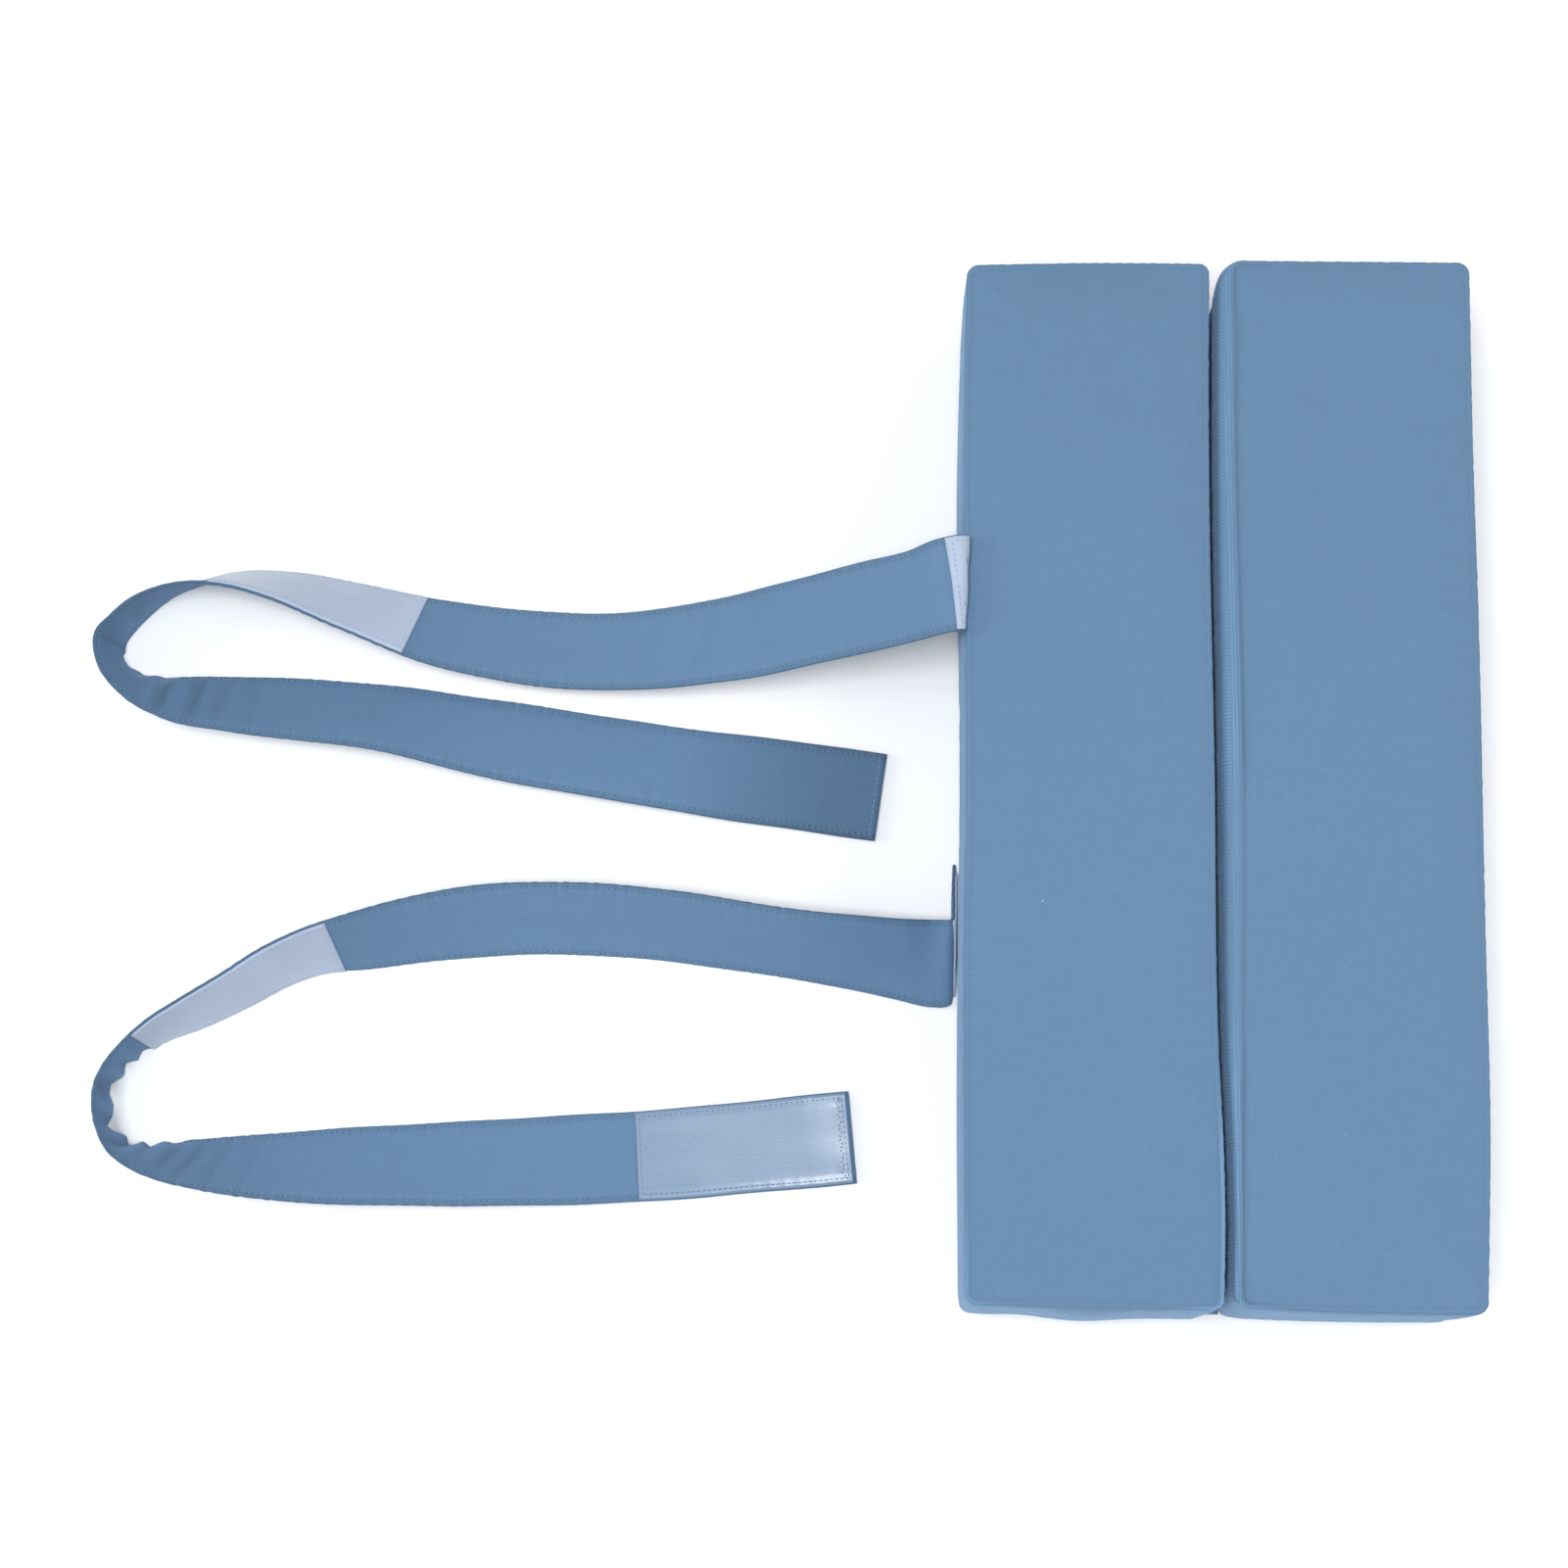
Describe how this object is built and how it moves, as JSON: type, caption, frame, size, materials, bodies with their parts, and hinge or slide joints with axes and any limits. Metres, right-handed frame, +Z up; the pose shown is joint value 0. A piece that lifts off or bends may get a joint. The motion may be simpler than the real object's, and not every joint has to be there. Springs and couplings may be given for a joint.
{
  "type": "knee pillow",
  "caption": "Knee pillow of two long foam blocks in cloth covers, joined by a cloth hinge, with two flat fastening straps that carry hook-and-loop patches.",
  "frame": {"origin": "on the floor under the middle of the whole object as it lies open", "axes": "+X away from the strap loops, across the blocks; +Y along the blocks to the back; +Z up"},
  "size_m": [0.6754, 0.5078, 0.1101],
  "materials": {
    "cover_cloth": "fine plain weave, matt",
    "strap_cloth": "fine plain weave, matt",
    "loop_tape": "brushed loop pile, matt",
    "hook_tape": "moulded hooks, satin"
  },
  "bodies": {
    "root": {"cushion_left": "cover_cloth", "cushion_right": "cover_cloth", "hinge_cloth": "cover_cloth", "strap_upper": "strap_cloth", "strap_lower": "strap_cloth", "root_patch_upper": "loop_tape", "middle_patch_upper": "loop_tape", "end_patch_upper": "hook_tape", "root_patch_lower": "loop_tape", "middle_patch_lower": "loop_tape", "end_patch_lower": "hook_tape"}
  },
  "joints": []
}
